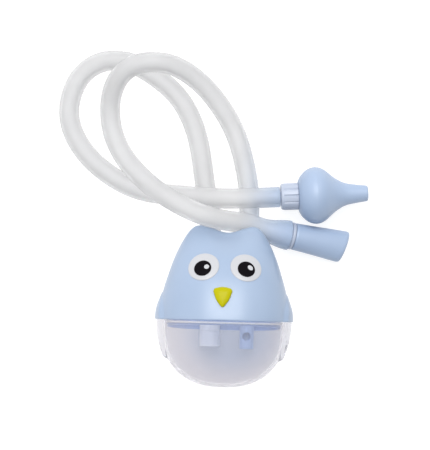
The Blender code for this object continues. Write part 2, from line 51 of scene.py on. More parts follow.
# The owl's outline: y, half width, middle z, front z, back z; a back below zero is cut flat.
BODY = (
    (-35.7, 0.0, 23.5, 23.5, 23.5),
    (-35.2, 7.2, 23.5, 29.6, 17.2),
    (-33.7, 12.6, 23.5, 34.2, 11.6),
    (-31.3, 17.4, 23.5, 38.2, 7.0),
    (-28.0, 21.3, 23.5, 41.8, 3.2),
    (-23.0, 24.7, 23.5, 44.9, 0.3),
    (-15.0, 27.4, 23.5, 47.1, -1.4),
    (-6.3, 28.3, 23.5, 47.5, -2.0),
    (1.0, 27.7, 23.5, 46.5, -1.8),
    (8.0, 26.2, 23.4, 44.5, -0.8),
    (14.0, 24.4, 23.1, 41.9, 1.2),
    (20.0, 22.4, 22.6, 38.3, 4.2),
    (26.0, 19.8, 21.9, 33.4, 8.6),
    (30.4, 17.4, 21.4, 28.9, 12.8),
    (33.1, 15.4, 21.1, 25.3, 16.8),
    (34.7, 13.3, 21.0, 23.2, 18.8),
    (35.3, 11.0, 21.0, 21.0, 21.0),
)
SEAM_STATION = 7
RIDGE_STATION = len(BODY) - 1
SEAM_Y, SEAM_HALF_WIDTH, AXIS_Z = BODY[SEAM_STATION][:3]
BELOW_SEAM = SEAM_Y - BODY[0][0]
ABOVE_SEAM = BODY[RIDGE_STATION][0] - SEAM_Y
HALF_DEPTH = 24.0
SQUARENESS = 2.35
EAR_DIP = 3.2
EAR_DIP_WIDTH = 7.4
EAR_DIP_X = 0.8
EAR_DIP_FROM_Y = 20.0
EAR_DIP_FADE = 15.0
WING_PROUD = 1.6
WING_MIDDLE_Y = -9.0
WING_HALF_LENGTH = 15.0
WING_HALF_HEIGHT = 13.0
WING_EDGE = 0.14
WING_FADE = 9.0
WING_TOP_SHARE = 0.25

EDGE = 0.35  # rounding of moulded edges
HEAD_WALL = 2.2
SHELF_Y = 9.0
RECESS_HALF_WIDTH = 16.5
RECESS_CEILING = 20.2
RECESS_END_Y = 48.0
RECESS_BELOW = -10.0
RECESS_ROUNDING = 4.0
CAVITY_ROUNDING = 6.0
PORT_HOLE_RADIUS = 3.3

CUP_SETBACK = 0.5
CUP_WALL = 1.6
SEAM_GAP = 0.08

PLATE_THICKNESS = 2.0
PLATE_CLEARANCE = 0.4
SKIRT_FRONT = 1.7
SKIRT_BACK = 4.4
SKIRT_INSET = 3.65
SKIRT_WALL = 1.0
SEAL_RADIUS = 0.45
SEAL_SQUEEZE = 0.3
SEAL_DROP = 0.9

PIPE_BORE = 1.8
PIPE_NECK_RADIUS = 3.15
PIPE_NECK_Y = -6.5
PIPE_BARB_LENGTH = 10.3
INLET_RADIUS = 2.5
INLET_END_Y = -14.5
OUTLET_RADIUS = 3.12
OUTLET_END_Y = -18.6
SIDE_HOLE_RADIUS = 1.9
SIDE_HOLE_DROP = 6.8
STUB_RADIUS = 4.5
STUB_BORE = 2.8
STUB_LENGTH = 11.0
STUB_END_Y = -17.8

HOSE_RADIUS = 4.5
HOSE_BORE = 3.0
HOSE_STEPS = 300
ROUTE_STEPS = 20
ROUTE_SOFTENINGS = 60
FLARE_LENGTH = 15.0
FLARE_RADIUS = 6.6
LEFT_PORT_X = -6.4
RIGHT_PORT_X = 10.0
PORT_Z = 9.4
HOSE_START_Y = 10.6

EYE_X = 9.1
EYE_Y = 16.5
EYE_RADIUS = 6.75
PUPIL_RADIUS = 3.75
PUPIL_OFFSET = (-0.1, -1.1)
GLINT_RADIUS = 1.1
GLINT_OFFSET = (1.7, 0.55)
GLINT_STRETCH = 1.12
GLINT_LEAN = 0.22
BEAK_X = -0.5
BEAK_Y = 3.6
BEAK_CORNERS = ((2.55, 2.5, 1.45), (-2.55, 2.5, 1.45), (0.0, -3.4, 1.0))  # x, y, radius
BEAK_MIDDLE = Vector((0.0, 0.9))
BEAK_BULGE = 0.42
BEAK_FOOT = -0.6
BEAK_SIDE = 0.5
BEAK_CROWN = 1.15

COLLAR_LENGTH = 7.6
COLLAR_PANELS = 12
PANEL_STEPS = 12
GROOVE_START = 1.1
GROOVE_INNER_RADIUS = 5.7
GROOVE_DEPTH = 0.45
GROOVE_SHOULDER = 0.30
SPIGOT_LENGTH = 7.0
BARB_LENGTH = 12.0
FITTING_BORE = 1.6

# The bulb and its narrow tip: height from the collar's foot, radius.
TIP_OUTSIDE = (
    (38.4, 2.9), (38.3, 3.2), (38.0, 3.42), (37.6, 3.52), (34.5, 3.9), (30.3, 4.55), (27.9, 5.2),
    (25.8, 6.25), (23.7, 7.6), (21.6, 9.35), (19.6, 11.05), (17.5, 12.15), (15.4, 12.5), (13.3, 12.2),
    (11.2, 11.15), (9.2, 9.25), (8.2, 7.7), (7.7, 6.5),
)
TIP_INSIDE = (
    (7.7, 3.3), (12.6, 3.3), (12.8, 9.6), (15.4, 10.9), (19.0, 9.8), (23.7, 5.9), (27.9, 3.5), (34.5, 2.0),
    (38.1, 1.7), (38.4, 1.9),
)
TIP_PARTING_AT = 15.4
TIP_PARTING_WIDTH = 0.3
PARTING_RIDGE = 0.10

FLANGE = 1.4
MOUTH_GAP = 0.12
END_SLANT = math.radians(9)
MOUTH_RING_STEP = 0.8
MOUTH_PARTING_TURN = 0.10
MOUTH_PARTING_WIDTH = 0.22

NASAL_START = Vector((23.6, 48.85, 13.23))
NASAL_AXIS = Vector((1.0, 0.07, -0.042)).normalized()
MOUTH_START = Vector((28.1, 32.0, 10.4))
MOUTH_END = Vector((52.2, 27.7, 5.3))
MOUTH_AXIS = (MOUTH_END - MOUTH_START).normalized()
MOUTH_LENGTH = (MOUTH_END - MOUTH_START).length

NASAL_ROUTE = (
    (LEFT_PORT_X, HOSE_START_Y, PORT_Z),
    (LEFT_PORT_X, 20.5, PORT_Z),
    (-6.8, 31.0, 6.8),
    (-8.2, 42.0, 4.7),
    (-10.2, 53.5, 4.7),
    (-13.7, 74.0, 4.7),
    (-19.3, 87.5, 4.7),
    (-26.2, 96.3, 4.7),
    (-35.8, 103.5, 4.7),
    (-46.0, 108.5, 4.7),
    (-57.1, 108.6, 4.7),
    (-66.0, 103.3, 4.7),
    (-71.1, 94.0, 4.7),
    (-72.1, 83.0, 4.7),
    (-68.2, 72.4, 4.7),
    (-59.6, 62.2, 4.7),
    (-46.8, 53.7, 4.7),
    (-34.8, 49.9, 4.7),
    (-23.4, 49.0, 8.4),
    (-12.1, 47.8, 13.5),
    (-1.1, 47.4, 14.2),
    (9.9, 47.9, 13.8),
    (16.0, 48.3, 13.5),
    (23.2, 48.82, 13.25),
)
MOUTH_ROUTE = (
    (RIGHT_PORT_X, HOSE_START_Y, PORT_Z),
    (RIGHT_PORT_X, 20.5, PORT_Z),
    (9.8, 30.0, 5.9),
    (9.8, 40.0, 4.7),
    (9.2, 54.0, 4.7),
    (3.9, 75.0, 4.7),
    (-5.0, 90.5, 5.0),
    (-15.5, 101.2, 8.0),
    (-26.2, 106.6, 12.5),
    (-35.9, 107.3, 14.2),
    (-43.4, 105.4, 14.2),
    (-49.2, 101.0, 12.5),
    (-52.8, 94.0, 8.5),
    (-53.7, 85.5, 5.2),
    (-51.9, 75.4, 5.4),
    (-46.6, 65.3, 9.0),
    (-39.4, 57.1, 13.2),
    (-31.6, 50.5, 15.6),
    (-23.4, 45.4, 19.6),
    (-15.5, 41.4, 23.6),
    (-7.8, 38.6, 25.1),
    (1.0, 37.2, 20.0),
    (10.0, 36.55, 14.9),
    (18.8, 33.6, 12.45),
    (27.75, 32.06, 10.47),
)

# Where the cup is painted darkest (painted shade of its inside) and how far off it is palest (painted light
# of its edge-on wall).
CUP_SHADE_MIDDLE = (3.5, -13.0, 0.0)
CUP_SHADE_REACH = (27.0, 21.0, 0.0)
CUP_SHADE_SHARE = 0.35
# Where the hoses are painted blue, for the blue fittings seen through them.
PAINTED_BLUE_FROM_X = 3.0
PAINTED_BLUE_FULL_X = 29.0

# The studio, in metres, radians and watts.
FLOOR_SIZE = 3.0
FLOOR_Z = -0.0003
FLOOR_GLOW = 0.8
SOFTBOX_AT = (0.0, 0.42, 1.05)
SOFTBOX_AIM = (0.0, 0.02, 0.03)
SOFTBOX_SIZE = (0.66, 0.8)
SOFTBOX_POWER = 9.0
WORLD_COLOUR = (0.98, 0.985, 1.0, 1.0)
WORLD_BRIGHT_SIDE = (-0.6, 0.7, 0.3)
WORLD_LEAN = (-0.8, 0.5)
WORLD_STRENGTH = (0.33, 1.05)
CAMERA_AT = Vector((0.0100, -0.0060, 0.7740))
CAMERA_AIM = Vector((-0.004966, 0.035117, 0.0240))
CAMERA_ROLL = math.radians(1.5)
CAMERA_LENS = 138.166
CAMERA_SENSOR = 36.0


# ---------------------------------------------------------------- modelling helpers

def deselect():
    for obj in list(bpy.context.selected_objects):
        obj.select_set(False)


def activate(obj):
    deselect()
    obj.select_set(True)
    bpy.context.view_layer.objects.active = obj


def apply_modifiers(obj):
    activate(obj)
    for modifier in list(obj.modifiers):
        bpy.ops.object.modifier_apply(modifier=modifier.name)


def close_up(obj, merge):
    """Merge the seam and the poles of a wrapped sheet and turn its faces outwards."""
    activate(obj)
    bpy.ops.object.mode_set(mode="EDIT")
    bpy.ops.mesh.select_all(action="SELECT")
    bpy.ops.mesh.remove_doubles(threshold=merge * MM)
    bpy.ops.mesh.dissolve_degenerate(threshold=0.0005 * MM)
    bpy.ops.mesh.normals_make_consistent(inside=False)
    bpy.ops.object.mode_set(mode="OBJECT")


def wrapped(name, rows, around, place, merge=0.004):
    """A grid bent into a skin: place(u, row) is a point in mm, u runs once round and each row crosses it."""
    along = len(rows) - 1
    bpy.ops.mesh.primitive_grid_add(x_subdivisions=around, y_subdivisions=along, size=2.0)
    obj = bpy.context.object
    obj.name = name
    for vertex in obj.data.vertices:
        u = (vertex.co.x + 1) / 2
        row = rows[round((vertex.co.y + 1) / 2 * along)]
        vertex.co = place(u, row) * MM
    close_up(obj, merge)
    return obj


def cap_ends(obj):
    """Fill the open rims of a skin and face it all outwards."""
    activate(obj)
    bpy.ops.object.mode_set(mode="EDIT")
    bpy.ops.mesh.select_mode(type="EDGE")
    bpy.ops.mesh.select_all(action="DESELECT")
    bpy.ops.mesh.select_non_manifold()
    bpy.ops.mesh.fill()
    bpy.ops.mesh.select_all(action="SELECT")
    bpy.ops.mesh.normals_make_consistent(inside=False)
    bpy.ops.object.mode_set(mode="OBJECT")


def turned(name, profile, steps, placement=None):
    """Extrude a ring of edges along Z round a closed profile of (radius, height), as on a lathe."""
    radius, height = profile[0]
    bpy.ops.mesh.primitive_circle_add(vertices=steps, radius=radius * MM, location=(0, 0, 0))
    obj = bpy.context.object
    obj.name = name
    for vertex in obj.data.vertices:
        vertex.co.z = height * MM
    bpy.ops.object.mode_set(mode="EDIT")
    bpy.ops.mesh.select_all(action="SELECT")
    for next_radius, next_height in profile[1:] + profile[:1]:
        rise = (next_height - height) * MM
        bpy.ops.mesh.extrude_region_move(TRANSFORM_OT_translate={"value": (0, 0, rise)})
        grow = next_radius / radius
        bpy.ops.transform.resize(value=(grow, grow, 1), center_override=(0, 0, next_height * MM))
        radius, height = next_radius, next_height
    bpy.ops.object.mode_set(mode="OBJECT")
    close_up(obj, 0.002)
    if placement is not None:
        settle(obj, placement)
    return obj


def settle(obj, placement):
    """Move a piece to its place and leave the place in its mesh."""
    obj.matrix_world = placement
    activate(obj)
    bpy.ops.object.transform_apply(location=True, rotation=True, scale=True)


def smooth(obj, angle):
    activate(obj)
    bpy.ops.object.shade_smooth_by_angle(angle=math.radians(angle))


def cut(obj, cutter):
    """Take a cutter's shape out of a piece, and delete the cutter."""
    modifier = obj.modifiers.new("cut", "BOOLEAN")
    modifier.operation = "DIFFERENCE"
    modifier.solver = "EXACT"
    modifier.object = cutter
    apply_modifiers(obj)
    bpy.data.objects.remove(cutter, do_unlink=True)


def rod(radius, length, placement):
    """A plain cutter bar centred on its placement."""
    bpy.ops.mesh.primitive_cylinder_add(vertices=48, radius=radius * MM, depth=length * MM)
    bar = bpy.context.object
    settle(bar, placement)
    return bar


def block(low, high, rounding):
    """A cutter box between two corners, its edges along Y rounded."""
    size = Vector(high) - Vector(low)
    middle = (Vector(high) + Vector(low)) / 2
    bpy.ops.mesh.primitive_cube_add(size=1.0)
    box = bpy.context.object
    settle(box, Matrix.Translation(middle * MM) @ Matrix.Diagonal((*(size * MM), 1.0)))
    bpy.ops.object.mode_set(mode="EDIT")
    bpy.ops.mesh.select_all(action="DESELECT")
    bpy.ops.object.mode_set(mode="OBJECT")
    for edge in box.data.edges:
        a, b = (box.data.vertices[i].co for i in edge.vertices)
        edge.select = abs((a - b).y) > size.y * MM / 2
    bpy.ops.object.mode_set(mode="EDIT")
    bpy.ops.mesh.select_mode(type="EDGE")
    bpy.ops.mesh.bevel(offset=rounding * MM, segments=8, affect="EDGES")
    bpy.ops.object.mode_set(mode="OBJECT")
    return box


def facing(point, axis):
    """A placement at a point in mm with its Z along an axis."""
    z = Vector(axis).normalized()
    x = UP.cross(z).normalized()
    turn = Matrix((x, z.cross(x), z)).transposed().to_4x4()
    return Matrix.Translation(Vector(point) * MM) @ turn


def finish_piece(obj, body, node, finish, angle=40):
    """Give a piece its material, body and slot, and let it stand for its CAD node."""
    smooth(obj, angle)
    obj.data.materials.clear()
    obj.data.materials.append(finish)
    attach(obj, body)
    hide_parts(node)
    return obj


# ---------------------------------------------------------------- curves and surfaces

def catmull_rom(values, t):
    """A smooth curve through all but the first and last of the values."""
    i = max(0, min(int(t), len(values) - 4))
    f = t - i
    a, b, c, d = values[i:i + 4]
    return tuple(
        0.5 * (2 * q + (r - p) * f + (2 * p - 5 * q + 4 * r - s) * f * f + (3 * q - p - 3 * r + s) * f ** 3)
        for p, q, r, s in zip(a, b, c, d)
    )


def smooth_step(value):
    """0 below 0, 1 above 1, and an even S between."""
    value = max(0.0, min(1.0, value))
    return value * value * (3 - 2 * value)


def power(value, exponent):
    """A power that keeps the sign of its value."""
    return math.copysign(abs(value) ** exponent, value)


def padded_body():
    """The outline with a mirrored station before its first and after its last."""
    y, half, middle, front, back = BODY[1]
    first = (y, -half, middle, 2 * middle - front, 2 * middle - back)
    y, half, middle, front, back = BODY[-2]
    last = (y, half, middle, 2 * middle - front, 2 * middle - back)
    return (first, *BODY, last)


PADDED_BODY = padded_body()


def body_at(t):
    return catmull_rom(PADDED_BODY, t)


def station_at(y):
    """The station of the outline at a given y, by halving."""
    low, high = 0.0, float(RIDGE_STATION)
    for _ in range(40):
        middle = (low + high) / 2
        if body_at(middle)[0] < y:
            low = middle
        else:
            high = middle
    return low


def wing_height(y, z):
    """How far the wing stands out of the side; its upper end fades into the head."""
    along = (y - WING_MIDDLE_Y) / WING_HALF_LENGTH
    across = (z - AXIS_Z) / WING_HALF_HEIGHT
    inside = 1 - along ** 2 - across ** 2
    swell = smooth_step((WING_MIDDLE_Y + WING_HALF_LENGTH - y) / WING_FADE)
    return WING_PROUD * smooth_step(inside / WING_EDGE) * mix(WING_TOP_SHARE, 1.0, swell)


def ear_drop(x, y):
    """How far the ridge sinks between the two ears."""
    across = math.exp(-(((x - EAR_DIP_X) / EAR_DIP_WIDTH) ** 2))
    return EAR_DIP * across * smooth_step((y - EAR_DIP_FROM_Y) / EAR_DIP_FADE)


def skin(t, u, inset=0.0, wings=False, y=None):
    """A point of the owl's surface at station t and turn u, drawn in by inset."""
    station_y, half, middle, front, back = body_at(t)
    span = ABOVE_SEAM if station_y > SEAM_Y else BELOW_SEAM
    shrink_x = 1 - inset / SEAM_HALF_WIDTH
    shrink_z = 1 - inset / HALF_DEPTH
    if y is None:
        y = SEAM_Y + (station_y - SEAM_Y) * (1 - inset / span)
    angle = TAU * u
    x = half * power(math.cos(angle), 2 / SQUARENESS)
    lift = power(math.sin(angle), 2 / SQUARENESS)
    z = max(0.0, middle + lift * ((front - middle) if lift > 0 else (middle - back)))
    if wings and abs(x) > 1:
        x += math.copysign(wing_height(station_y, z), x)
    return Vector((x * shrink_x, y - ear_drop(x, station_y), AXIS_Z + (z - AXIS_Z) * shrink_z))


def front_z(x, y):
    """Height of the face's surface."""
    _, half, middle, front, _ = body_at(station_at(y))
    return middle + (front - middle) * (1 - min(1.0, abs(x / half)) ** SQUARENESS) ** (1 / SQUARENESS)


def face_placement(x, y):
    """A placement on the face, in mm, whose Z is the surface normal and whose Y points to the ears."""
    step = 0.5
    slope_x = (front_z(x + step, y) - front_z(x - step, y)) / (2 * step)
    slope_y = (front_z(x, y + step) - front_z(x, y - step)) / (2 * step)
    z = Vector((-slope_x, -slope_y, 1.0)).normalized()
    across = Vector((0.0, 1.0, 0.0)).cross(z).normalized()
    turn = Matrix((across, z.cross(across), z)).transposed().to_4x4()
    return Matrix.Translation(Vector((x, y, front_z(x, y)))) @ turn


def on_face(placement, a, b, lift):
    """The point lift above the face, over local (a, b) of a placement."""
    normal = placement.to_3x3() @ UP
    height = 0.0
    for _ in range(5):
        point = placement @ Vector((a, b, height))
        height += (front_z(point.x, point.y) - point.z) * normal.z
    return placement @ Vector((a, b, height + lift))


def mix(a, b, share):
    return a + (b - a) * share


def spread(low, high, count):
    return [mix(low, high, i / count) for i in range(count + 1)]


def smooth_route(route, count):
    """Evenly spaced points on a smooth curve through a route, in mm."""
    first = tuple(2 * a - b for a, b in zip(route[0], route[1]))
    last = tuple(2 * a - b for a, b in zip(route[-1], route[-2]))
    padded = (first, *route, last)
    pieces = (len(route) - 1) * ROUTE_STEPS
    dense = [Vector(catmull_rom(padded, t)) for t in spread(0.0, len(route) - 1.0, pieces)]
    for _ in range(ROUTE_SOFTENINGS):
        middle = [(a + b * 2 + c) / 4 for a, b, c in zip(dense, dense[1:], dense[2:])]
        dense = [dense[0], *middle, dense[-1]]
    reach = [0.0]
    for a, b in zip(dense, dense[1:]):
        reach.append(reach[-1] + (b - a).length)
    points, i = [], 0
    for k in range(count + 1):
        goal = reach[-1] * k / count
        while i < len(dense) - 2 and reach[i + 1] < goal:
            i += 1
        points.append(dense[i].lerp(dense[i + 1], (goal - reach[i]) / (reach[i + 1] - reach[i])))
    return points, reach[-1]


# ---------------------------------------------------------------- head

def lip_rows(y, inset, direction):
    """Rows round a moulded edge at y, from its flat end to the full side."""
    rows = []
    for angle in spread(0.0, math.pi / 2, 4):
        drawn = inset + EDGE * (1 - math.sin(angle))
        rows.append((station_at(y), drawn, y + direction * EDGE * (1 - math.cos(angle))))
    return rows


def head_skin():
    """The outside of the head with the wings' upper halves, closed at the seam."""
    low = station_at(SEAM_Y + EDGE)
    rows = lip_rows(SEAM_Y, 0.0, 1)
    rows += [(t, 0.0, None) for t in spread(low, RIDGE_STATION - 1.0, 110)[1:]]
    rows += [(t, 0.0, None) for t in spread(RIDGE_STATION - 1.0, RIDGE_STATION, 22)[1:]]
    obj = wrapped("head", rows, 240, lambda u, row: skin(row[0], u, row[1], True, row[2]))
    cap_ends(obj)
    return obj


def recess(margin, rounding):
    """A cutter for the room under the ears, grown by a margin."""
    low = (-RECESS_HALF_WIDTH - margin, SHELF_Y - margin, RECESS_BELOW)
    high = (RECESS_HALF_WIDTH + margin, RECESS_END_Y, RECESS_CEILING + margin)
    return block(low, high, rounding)


def head_cavity():
    """The hollow inside the head's wall, already clear of the recess for the hoses."""
    low = station_at(SEAM_Y)
    rows = [(low, HEAD_WALL, SEAM_Y - 2.0)]
    rows += [(t, HEAD_WALL, None) for t in spread(low, RIDGE_STATION, 70)]
    cavity = wrapped("cavity", rows, 120, lambda u, row: skin(row[0], u, row[1], False, row[2]))
    cap_ends(cavity)
    cut(cavity, recess(HEAD_WALL, CAVITY_ROUNDING))
    return cavity


def port_holes(obj, y, depth):
    """Cut the two ports' holes through a wall at y."""
    for port_x in (LEFT_PORT_X, RIGHT_PORT_X):
        cut(obj, rod(PORT_HOLE_RADIUS, depth, facing((port_x, y, PORT_Z), (0, 1, 0))))


def make_head():
    """The thin shell of the head, with the recess and the two ports for the hoses."""
    head = head_skin()
    cut(head, head_cavity())
    cut(head, recess(0.0, RECESS_ROUNDING))
    port_holes(head, SHELF_Y, 8.0)
    finish_piece(head, "head", "head_shell", blue_shell(), 32)
    head.visible_shadow = False  # thin plastic: it does not darken the cup


# ---------------------------------------------------------------- face

def patch(name, spot, rows, steps=72, squeeze=None):
    """A domed badge that follows the face round a spot; a row is (radius, lift)."""
    def place(u, row):
        radius, lift = row
        a, b = radius * math.cos(TAU * u), radius * math.sin(TAU * u)
        if squeeze:
            a, b = squeeze(a, b)
        return on_face(spot, a, b, lift)
    return wrapped(name, rows, steps, place)


def dome_rows(radius, edge_lift, middle_lift, foot, rounding=0.3):
    """From the middle underneath, out to the foot, over the rounded rim and up to the crown."""
    rows = [(0.0, foot), (radius * 0.6, foot), (radius, foot)]
    for angle in spread(0.0, math.pi / 2, 5):
        rows.append((radius - rounding * (1 - math.cos(angle)), edge_lift - rounding * (1 - math.sin(angle))))
    inner = radius - rounding
    for share in spread(1.0, 0.0, 12)[1:]:
        rows.append((inner * share, mix(middle_lift, edge_lift, share * share)))
    return rows


def leaning(a, b):
    """The right glint is a little longer than wide, and leans."""
    return a - GLINT_LEAN * b, b * GLINT_STRETCH


def make_eye(side, name):
    """White disc, pupil and glint, each a little prouder than the one below."""
    spot = face_placement(side * EYE_X, EYE_Y)
    white = patch(f"eye_{name}", spot, dome_rows(EYE_RADIUS, 0.32, 0.62, -0.5))
    finish_piece(white, "head", f"eye_white_{name}", gloss_white())

    spot = spot @ Matrix.Translation((*PUPIL_OFFSET, 0))
    pupil = patch(f"pupil_round_{name}", spot, dome_rows(PUPIL_RADIUS, 0.72, 0.84, 0.2, 0.14))
    finish_piece(pupil, "head", f"pupil_{name}", gloss_black())

    spot = spot @ Matrix.Translation((*GLINT_OFFSET, 0))
    squeeze = leaning if side > 0 else None
    glint = patch(f"glint_dot_{name}", spot, dome_rows(GLINT_RADIUS, 0.86, 0.93, 0.6, 0.08), 40, squeeze)
    finish_piece(glint, "head", f"glint_{name}", gloss_white())


def beak_outline(steps=16):
    """Arcs round three corners joined by slightly swelling sides, starting on the right."""
    ring = []
    for number, (x, y, radius) in enumerate(BEAK_CORNERS):
        start = math.radians((-30, 90, 210)[number])
        for angle in spread(start, start + math.radians(120), steps):
            ring.append(Vector((x + radius * math.cos(angle), y + radius * math.sin(angle))))
        next_x, next_y, next_radius = BEAK_CORNERS[(number + 1) % 3]
        end = start + math.radians(120)
        begin = ring[-1]
        finish = Vector((next_x + next_radius * math.cos(end), next_y + next_radius * math.sin(end)))
        outward = Vector((math.cos(end), math.sin(end)))
        for share in spread(0.0, 1.0, steps)[1:-1]:
            ring.append(begin.lerp(finish, share) + outward * BEAK_BULGE * math.sin(math.pi * share))
    return ring


def make_beak():
    """A rounded triangle with a full crown."""
    spot = face_placement(BEAK_X, BEAK_Y)
    outline = beak_outline()
    rows = [(0.0, BEAK_FOOT), (1.0, BEAK_FOOT), (1.0, BEAK_SIDE)]
    for angle in spread(0.0, math.pi / 2, 12)[1:]:
        rows.append((math.cos(angle) ** 0.8, BEAK_SIDE + BEAK_CROWN * math.sin(angle)))

    def place(u, row):
        share, lift = row
        point = BEAK_MIDDLE + (outline[round(u * len(outline)) % len(outline)] - BEAK_MIDDLE) * share
        return on_face(spot, point.x, point.y, lift)

    beak = wrapped("beak_crown", rows, len(outline), place)
    finish_piece(beak, "head", "beak", yellow_gloss(), 50)


# ---------------------------------------------------------------- cup, plate and pipes

def make_cup():
    """The collecting cup: a thin bowl with the wings' lower halves and a rounded rim."""
    rim_y = SEAM_Y - SEAM_GAP
    outer_inset = CUP_SETBACK
    inner_inset = CUP_SETBACK + CUP_WALL
    top = station_at(rim_y - EDGE)
    outside = [(t, outer_inset, None, True) for t in spread(0.0, 1.0, 18)]
    outside += [(t, outer_inset, None, True) for t in spread(1.0, top, 90)[1:]]
    rim = [(*row, True) for row in reversed(lip_rows(rim_y, outer_inset, -1))]
    inside = [(t, inner_inset, None, False) for t in spread(station_at(rim_y), 0.0, 70)[1:]]
    rows = outside + rim + [(station_at(rim_y), inner_inset, rim_y, False)] + inside
    cup = wrapped("cup_bowl", rows, 240, lambda u, row: skin(row[0], u, row[1], row[3], row[2]))
    finish_piece(cup, "cup", "cup", frosted_cup(), 32)
    cup.visible_shadow = False  # the frosted wall lets the light in


def skirt_edge(u, inset):
    """A point of the skirt's free edge, which runs deeper towards the owl's back."""
    point = skin(station_at(SEAM_Y), u, inset, False, SEAM_Y)
    slope = (SKIRT_BACK - SKIRT_FRONT) / (2 * AXIS_Z)
    point.y += slope * point.z - SKIRT_BACK
    return point


def make_plate():
    """The plug between head and cup: a plate, and a skirt behind its rim."""
    seam = station_at(SEAM_Y)
    rim = HEAD_WALL + PLATE_CLEARANCE
    inner = SKIRT_INSET + SKIRT_WALL
    top = SEAM_Y + PLATE_THICKNESS

    def middle(y):
        return lambda u: Vector((0.0, y, AXIS_Z))

    def ring(inset, y):
        return lambda u: skin(seam, u, inset, False, y)

    def skirt(inset):
        return lambda u: skirt_edge(u, inset)

    rows = (
        middle(top), ring(rim, top), ring(rim, SEAM_Y), ring(SKIRT_INSET, SEAM_Y),
        skirt(SKIRT_INSET), skirt(inner), ring(inner, SEAM_Y), middle(SEAM_Y),
    )
    plate = wrapped("plate", rows, 144, lambda u, row: row(u))
    port_holes(plate, SEAM_Y, 12.0)
    finish_piece(plate, "head", "port_plate", shaded_blue(), 32)
    plate.visible_shadow = False


def make_seal():
    """A soft ring of round section that follows the skirt."""
    seam = station_at(SEAM_Y)
    middle_inset = SKIRT_INSET - SEAL_SQUEEZE - SEAL_RADIUS

    def place(u, angle):
        out, along = SEAL_RADIUS * math.cos(angle), SEAL_RADIUS * math.sin(angle)
        return skin(seam, u, middle_inset - out, False, SEAM_Y - SEAL_DROP + along)

    seal = wrapped("seal", spread(0.0, TAU, 16), 120, place)
    finish_piece(seal, "head", "sealing_ring", soft_white())


def make_pipe(name, port_x, radius, end_y):
    """A turned pipe on its port: barb, shelf collar, neck and lower end, along +Y from the shelf."""
    tip = PIPE_BARB_LENGTH
    neck = PIPE_NECK_Y - SHELF_Y
    end = end_y - SHELF_Y
    profile = (
        (2.1, tip), (2.5, tip - 1.5), (2.2, tip - 3.0), (2.2, 1.3),
        (4.2, 1.3), (4.4, 1.1), (4.4, 0.5), (4.2, 0.3), (PIPE_NECK_RADIUS, 0.3),
        (PIPE_NECK_RADIUS, neck + 0.2), (PIPE_NECK_RADIUS - 0.15, neck), (radius, neck),
        (radius, end + 0.3), (radius - 0.3, end), (PIPE_BORE, end), (PIPE_BORE, tip),
    )
    return turned(name, profile, 64, facing((port_x, SHELF_Y, PORT_Z), (0, 1, 0)))


def make_pipes():
    """The two pipes inside the cup; the outlet has a round hole in its front."""
    inlet = make_pipe("inlet", LEFT_PORT_X, INLET_RADIUS, INLET_END_Y)
    finish_piece(inlet, "head", "inlet_pipe", lit_blue(), 32)

    outlet = make_pipe("outlet", RIGHT_PORT_X, OUTLET_RADIUS, OUTLET_END_Y)
    hole_at = Vector((RIGHT_PORT_X, SEAM_Y - SIDE_HOLE_DROP, PORT_Z + 6.0)) * MM
    cut(outlet, rod(SIDE_HOLE_RADIUS, 12.0, Matrix.Translation(hole_at)))
    finish_piece(outlet, "head", "outlet_pipe", lit_blue(), 32)


def make_stub():
    """The short sleeve on the inlet pipe, with the shallow groove of its upper half."""
    radius, length = STUB_RADIUS, STUB_LENGTH
    profile = (
        (radius - 0.05, length), (radius, length - 0.25),
        (radius, length - 3.8), (radius - 0.2, length - 4.0),
        (radius - 0.2, length - 4.5), (radius, length - 4.7),
        (radius, 0.25), (radius - 0.25, 0.0), (STUB_BORE, 0.0), (STUB_BORE, length),
    )
    stub = turned("stub_sleeve", profile, 64, facing((LEFT_PORT_X, STUB_END_Y, PORT_Z), (0, 1, 0)))
    finish_piece(stub, "inlet_stub", "inlet_stub", milky_sleeve(), 32)


# ---------------------------------------------------------------- hoses

def carried_axes(points):
    """Axes across a path that turn with it and never twist: point, across, over, along."""
    axes = []
    across = None
    for k, point in enumerate(points):
        ahead = points[min(k + 1, len(points) - 1)]
        behind = points[max(k - 1, 0)]
        along = (ahead - behind).normalized()
        if across is None:
            across = along.cross(UP).normalized()
        across = (across - along * across.dot(along)).normalized()
        axes.append((point, across, along.cross(across), along))
    return axes


def hose_radius(from_end, flared):
    """The hose's radius, which grows towards an end that is stretched over a spigot."""
    if not flared:
        return HOSE_RADIUS
    return mix(HOSE_RADIUS, FLARE_RADIUS, smooth_step(1 - from_end / FLARE_LENGTH))


def hose_rows(outer):
    """Rings of a hose with rounded ends: step along the path, radius, shift along it."""
    last = len(outer) - 1
    wall = HOSE_RADIUS - HOSE_BORE
    start, end = outer[0], outer[-1]
    rows = [(0, start - EDGE, 0.0), (0, start - EDGE * 0.3, EDGE * 0.3), (0, start, EDGE)]
    rows += [(k, outer[k], 0.0) for k in range(1, last)]
    rows += [(last, end, -EDGE), (last, end - EDGE * 0.3, -EDGE * 0.3), (last, end - EDGE, 0.0)]
    rows += [(k, outer[k] - wall, 0.0) for k in range(last, -1, -1)]
    rows.append(rows[0])
    return rows


def make_hose(name, node, route, flared):
    """A limp tube along its route, from its port to the fitting in its far end."""
    points, length = smooth_route(route, HOSE_STEPS)
    axes = carried_axes(points)
    outer = [hose_radius(length * (1 - share), flared) for share in spread(0.0, 1.0, HOSE_STEPS)]

    def place(u, row):
        k, radius, shift = row
        point, across, over, along = axes[k]
        turn = TAU * u
        return point + along * shift + (across * math.cos(turn) + over * math.sin(turn)) * radius

    hose = wrapped(name, hose_rows(outer), 40, place, merge=0.002)
    finish_piece(hose, "head", node, milky_hose(), 40)
    hose.visible_shadow = False


# ---------------------------------------------------------------- nasal end

